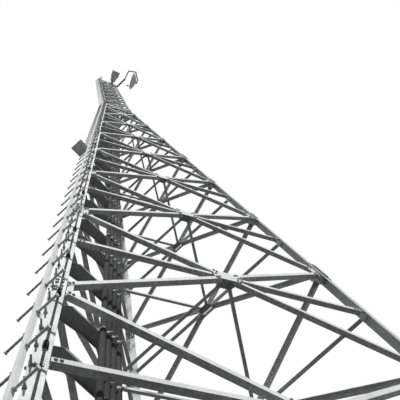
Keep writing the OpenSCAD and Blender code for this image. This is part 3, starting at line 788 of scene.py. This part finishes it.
def addGussets():
    g = gusset
    parts = [shifted(slab(g["outline"], g["thickness"], g["bevel"]), 0, 0, -g["thickness"])]
    for (x0, y0), (x1, y1), side in g["lips"]:  # each lip lies to the inner side of its edge
        length = math.hypot(x1 - x0, y1 - y0)
        c, s = (x1 - x0) / length, (y1 - y0) / length
        inner = sorted((0, side * g["lip"]))
        lip = block(0, length, *inner, -cable["lipHeight"], -g["thickness"], g["bevel"])
        parts.append(moved(lip, [[c, -s, 0], [s, c, 0], [0, 0, 1.0]], (x0, y0, 0)))
    heights = [z for z in bracketHeights(lower) if z < g["top"]]
    turns = [legPlace(left, tierOf(z))[0] for z in heights]
    places = [onLeg(left, z, (0, 0, 0)) for z in heights]
    addPiece("bracketGussets", scattered(joined(parts), turns, places), "galvanised_fittings")


addGussets()

# Cleats between the plan ties and the middles of the faces, smaller as the tower narrows
cleat = dict(thickness=0.008, fullAt=4.6, least=0.4, most=0.85, panels=((0, 1, 2), (3, 4, 5), (6, 7)),
             outline=((-0.17, 0.012), (0.17, 0.012), (0.17, 0.055),
                      (0.09, 0.15), (-0.09, 0.15), (-0.17, 0.055)),
             bolts=((-0.13, 0.035), (0.13, 0.035), (-0.052, 0.088),
                    (0.052, 0.088), (-0.07, 0.122), (0.07, 0.122)))


def addTieCleats():
    c = cleat
    bolt = boltShape(c["thickness"] + tower["braceThickness"])
    headDown = np.diag([1.0, -1.0, -1.0])
    shape = joined([slab(c["outline"], c["thickness"])]
                   + [moved(bolt, headDown, (u, y, 0)) for u, y in c["bolts"]])
    turns, places = [], []
    for tier in (lower, middle, upper):
        for i in c["panels"][tier]:
            crossing = panelCorners(panelZ[i], panelZ[i + 1], tier)[-1]
            v = crossing - tower["braceWidth"] / 2 - c["thickness"]
            size = min(max(widthAt(panelZ[i]) / c["fullAt"], c["least"]), c["most"])
            for face in range(3):
                turn, start = facePlace(face, tier)
                turns.append(turn @ np.diag([size, size, 1.0]))
                places.append(start + turn @ np.array([0, 0, v]))
    addPiece("tieCleats", scattered(shape, turns, places), "galvanised_fittings")


addTieCleats()

# Anchor bolts and weld beads of the feet
foot = dict(middleIn=0.038, thickness=0.025, anchorCircle=0.44, washer=0.032, washerThickness=0.008,
            rod=((0.0096, 0.002), (0.012, 0.006), (0.012, 0.108), (0.009, 0.112)), nutHeight=0.02,
            nut=((0.01935, 0), (0.0215, 0.002), (0.0215, 0.018), (0.01935, 0.02)), lockTurn=0.4,
            lockGap=0.0005, ribThickness=0.012, bead=0.0045, beadSunk=0.4, beadFrom=0.06, beadTo=0.19,
            beadPoints=12, beadWave=0.0006, beadWaves=900)


def addFeet():
    f = foot
    top = f["thickness"]
    s = f["washer"]
    nutAt = top + f["washerThickness"]
    lockNutAt = nutAt + f["nutHeight"] + f["lockGap"]
    shape = joined([turned(f["rod"], 10), block(-s, s, -s, s, top, nutAt),
                    shifted(turned(f["nut"], 6), 0, 0, nutAt),
                    shifted(turned(f["nut"], 6, f["lockTurn"]), 0, 0, lockNutAt)])
    turns, places, beads = [], [], []
    out = tower["baseWidth"] / root3 - f["middleIn"]
    along = np.linspace(f["beadFrom"], f["beadTo"], f["beadPoints"])
    sunk = f["bead"] * f["beadSunk"]
    for leg in (left, right, rear):
        spin = turnZ(legAngle[leg])
        centre = axisAt + spin @ np.array([out, 0, 0])
        for corner in (45, 135, 225, 315):
            turns.append(spin @ turnZ(corner))
            places.append(centre + turns[-1] @ np.array([f["anchorCircle"] / 2, 0, 0]))
        for ribTurn in (0, 90, 270):
            for side in (-1, 1):
                across = np.full(len(along), side * (f["ribThickness"] / 2 + sunk))
                path = np.c_[along, across, top + sunk + f["beadWave"] * np.sin(along * f["beadWaves"])]
                beads.append(tube(path @ (spin @ turnZ(ribTurn)).T + centre, f["bead"], 6))
    addPiece("anchorBolts", scattered(shape, turns, places), "galvanised_fittings")
    addPiece("footWelds", joined(beads), "galvanised_fittings")


addFeet()

# Bolts of the ring beam, near both ends of each side
ringBolts = dict(rows=(0.035, 0.085), fromLeg=(0.1, 0.15), grip=0.007)


def addRingBolts():
    turns, places = [], []
    for face in range(3):
        turn, start = facePlace(face, mast)
        for side in (-1, 1):
            for v in ringBolts["rows"]:
                for fromLeg in ringBolts["fromLeg"]:
                    u = side * (tower["waistWidth"] / 2 - fromLeg)
                    places.append(start + turn @ np.array([u, -tower["faceOut"], v]))
                    turns.append(outOfFace(turn, (1.0, 0)))
    addPiece("ringBolts", scattered(boltShape(ringBolts["grip"]), turns, places), "galvanised_fittings")


addRingBolts()

# Drum antenna: bands of (place along the drum, radius, width), the cover's bead and bolts, clamps and gland
drum = dict(across=0.215, poleOut=0.08, pole=0.06, diameter=0.42, length=0.56, turn=-84.0, drop=0.45,
            bands=((0.19, 0.1515, 0.02), (0.366, 0.2085, 0.02), (0.575, 0.2105, 0.022)), bandIn=0.003,
            bandOut=0.0045, bandEdge=0.002, bandBevel=0.004, coverOut=0.008,
            bead=((-0.004, 0.004), (0.0035, 0.007), (0.0035, 0.014), (-0.004, 0.017)), coverBolts=16,
            coverBolt=((0.00585, 0), (0.00585, 0.0015), (0.0045, 0.002), (0.0036, 0.006)),
            boltsIn=0.014, boltsOut=0.024, clampZ=(-0.04, 0.04), clampBend=0.036, clampEnd=0.06,
            clampRod=0.005, glandPlace=(0.12, 0, -0.118),
            gland=((0.022, 0), (0.022, 0.02), (0.016, 0.024), (0.016, 0.05), (0.012, 0.056)))
antennaAxis = np.array([[0, 0, 1.0], [0, 1, 0], [-1, 0, 0]])  # lays the z of a turned shape along x


def drumPlace():
    turn, start = facePlace(0, mast)
    v = topZ - waistZ - drum["drop"] * tower["bayHeight"]
    return turn @ turnZ(drum["turn"]), start + turn @ np.array([drum["across"], -drum["poleOut"], v])


def boltCircle(head, count, radius, out):  # heads evenly round the z axis at one height
    angle = 2 * np.pi * np.arange(count) / count
    return scattered(head, [np.eye(3)] * count, np.c_[np.cos(angle) * radius, np.sin(angle) * radius,
                                                      np.full(count, out)])


def bandShape(at, r, width):
    d, w = drum, width / 2
    section = [(r - d["bandIn"], -w), (r + d["bandEdge"], -w), (r + d["bandOut"], -w + d["bandBevel"]),
               (r + d["bandOut"], w - d["bandBevel"]), (r + d["bandEdge"], w), (r - d["bandIn"], w)]
    return shifted(ring(section, 48), 0, 0, at)


def addDrumDetails():
    d = drum
    turn, start = drumPlace()
    onAxis = turn @ antennaAxis
    addPiece("drumBands", moved(joined([bandShape(*band) for band in d["bands"]]), onAxis, start),
             "grey_antenna_paint")
    edge = d["pole"] + d["length"]
    radius = d["diameter"] / 2 + d["coverOut"]
    bead = shifted(ring([(radius + r, z) for r, z in d["bead"]], 48), 0, 0, edge)
    addPiece("drumCoverBead", moved(bead, onAxis, start), "white_antenna_cover")
    heads = boltCircle(turned(d["coverBolt"], 8), d["coverBolts"], radius - d["boltsIn"],
                       edge + d["boltsOut"])
    addPiece("drumCoverBolts", moved(heads, onAxis, start), "galvanised_fittings")
    # A clamp is a half circle round the pole with two straight ends
    bend, end = d["clampBend"], d["clampEnd"]
    arc = np.linspace(0, np.pi, 13)
    path = np.concatenate([[[end, bend]], np.c_[-bend * np.sin(arc), bend * np.cos(arc)], [[end, -bend]]])
    clamps = [tube(np.c_[path, np.full(len(path), z)], d["clampRod"], 8) for z in d["clampZ"]]
    gland = moved(turned(d["gland"], 12), np.diag([1.0, -1.0, -1.0]), d["glandPlace"])
    addPiece("drumFixings", moved(joined(clamps + [gland]), turn, start), "galvanised_fittings")


addDrumDetails()

# Dish antenna: the rim's bead, ribs on the back and bolts round the hub
dish = dict(at=(0.75, -0.48), drop=0.62, tilt=5.0, diameter=0.94, depth=0.18, sheet=0.008, rim=0.007,
            ribs=8, firstRib=22.5, ribFrom=0.075, ribTo=0.45, ribHeight=0.022, ribThickness=0.004,
            ribSunk=0.6, ribSlope=1.25, ribLeast=0.25,
            hubBolts=6, hubRadius=0.05, hubBack=0.03,
            hubBolt=((0.009, -0.002), (0.009, 0.001), (0.0075, 0.0015), (0.0075, 0.008)))


def dishSag(r):  # depth of the dish at a radius, from the plane of its rim
    return dish["depth"] * (1 - (2 * r / dish["diameter"]) ** 2)


def dishPlace():
    return axisAt + np.array([tower["topWidth"] / 2 + dish["at"][0],
                              -tower["topWidth"] / (2 * root3) + dish["at"][1],
                              topZ - dish["drop"] * tower["bayHeight"]])


# A rib follows the back of the dish: its outline is the curve of the sheet and the same curve further out
def ribShape():
    d, h = dish, dish["ribThickness"] / 2
    r = np.linspace(d["ribFrom"], d["ribTo"], 14)
    seat = dishSag(r) + d["sheet"] * d["ribSunk"]
    crest = seat + d["ribHeight"] * np.clip(d["ribSlope"] - r / d["ribTo"], d["ribLeast"], 1)
    outline = np.concatenate([np.c_[r, seat], np.c_[r, crest][::-1]])
    n = len(outline)
    points = np.concatenate([np.c_[outline[:, 0], np.full(n, y), outline[:, 1]] for y in (h, -h)])
    return points, stripFaces(n)


def addDishDetails():
    d = dish
    start = dishPlace()
    onAxis = leanY(-math.radians(d["tilt"])) @ antennaAxis
    arc = 2 * np.pi * np.arange(8) / 8
    radius = d["diameter"] / 2 - d["rim"]
    rim = ring(np.c_[radius + d["rim"] * np.cos(arc), d["rim"] + d["rim"] * np.sin(arc)], 64)
    addPiece("dishRim", moved(rim, onAxis, start), "grey_antenna_paint")
    ribTurns = [turnZ(d["firstRib"] + 360 * v / d["ribs"]) for v in range(d["ribs"])]
    ribs = scattered(ribShape(), ribTurns, np.zeros((d["ribs"], 3)))
    addPiece("dishRibs", moved(ribs, onAxis, start), "grey_antenna_paint")
    back = d["depth"] + d["sheet"] + d["hubBack"]
    heads = boltCircle(turned(d["hubBolt"], 6), d["hubBolts"], d["hubRadius"], back)
    addPiece("dishHubBolts", moved(heads, onAxis, start), "galvanised_fittings")


addDishDetails()

# The stage: a floor that the camera sees pale and the tower sees dark, a white surround and one sun
stage = dict(half=80.0, paleFloor=(0.9, 0.9, 0.9, 1), bounceFloor=(0.03, 0.03, 0.03, 1), floorRoughness=0.9,
             sky=0.2, sunStrength=3.7, sunAzimuth=255.0, sunElevation=54.0, sunAngle=2.0)


def seenDirectly(tree):  # 1 for rays from the camera, mirrors and glass, and 0 for light that bounces
    ray = tree.nodes.new("ShaderNodeLightPath").outputs
    clear = mathNode(tree, "MAXIMUM", ray["Is Camera Ray"], ray["Is Glossy Ray"])
    return mathNode(tree, "MAXIMUM", clear, ray["Is Transmission Ray"])


def addStage():
    mesh = bpy.data.meshes.new("floor")
    h = stage["half"]
    corners = [(axisAt[0] + x * h, axisAt[1] + y * h, 0) for x, y in ((-1, -1), (1, -1), (1, 1), (-1, 1))]
    mesh.from_pydata(corners, [], [(0, 1, 2, 3)])
    floor = bpy.data.objects.new("floor", mesh)
    bpy.context.scene.collection.objects.link(floor)
    material = bpy.data.materials.new("paleFloor")
    material.use_nodes = True
    tree = material.node_tree
    shader = tree.nodes["Principled BSDF"]
    colour = mixColour(tree, seenDirectly(tree), stage["bounceFloor"], stage["paleFloor"])
    tree.links.new(colour, shader.inputs["Base Color"])
    shader.inputs["Roughness"].default_value = stage["floorRoughness"]
    mesh.materials.append(material)
    world = bpy.data.worlds.new("studio")
    bpy.context.scene.world = world
    world.use_nodes = True
    tree = world.node_tree
    level = mathNode(tree, "ADD", times(tree, seenDirectly(tree), 1.0 - stage["sky"]), stage["sky"])
    shader = tree.nodes["Background"]
    shader.inputs["Color"].default_value = (1, 1, 1, 1)
    tree.links.new(level, shader.inputs["Strength"])
    sun = bpy.data.lights.new("keyLamp", "SUN")
    sun.energy = stage["sunStrength"]
    sun.angle = math.radians(stage["sunAngle"])
    lamp = bpy.data.objects.new("keyLamp", sun)
    bpy.context.scene.collection.objects.link(lamp)
    lamp.rotation_euler = (math.radians(90 - stage["sunElevation"]), 0,
                           math.radians(stage["sunAzimuth"] + 90))
    print("floor, surround and sun are in place")


addStage()

camera = dict(place=(0.0660, -1.9564, 1.4597), right=(0.93447, -0.31197, -0.17156),
              down=(0.25981, 0.92700, -0.27051), forward=(0.24343, 0.20822, 0.94731),
              lens=58.764, sensor=36.0, clipEnd=400.0)


def addCamera():
    lensData = bpy.data.cameras.new("camera")
    lensData.lens = camera["lens"]
    lensData.sensor_width = camera["sensor"]
    lensData.clip_end = camera["clipEnd"]
    body = bpy.data.objects.new("camera", lensData)
    bpy.context.scene.collection.objects.link(body)
    turn = np.eye(4)
    turn[:3, 0] = camera["right"]
    turn[:3, 1] = -np.array(camera["down"])
    turn[:3, 2] = -np.array(camera["forward"])
    turn[:3, 3] = camera["place"]
    body.matrix_world = Matrix(turn.tolist())
    bpy.context.scene.camera = body
    print("camera is in place")


addCamera()
bpy.context.scene.view_settings.view_transform = "Standard"
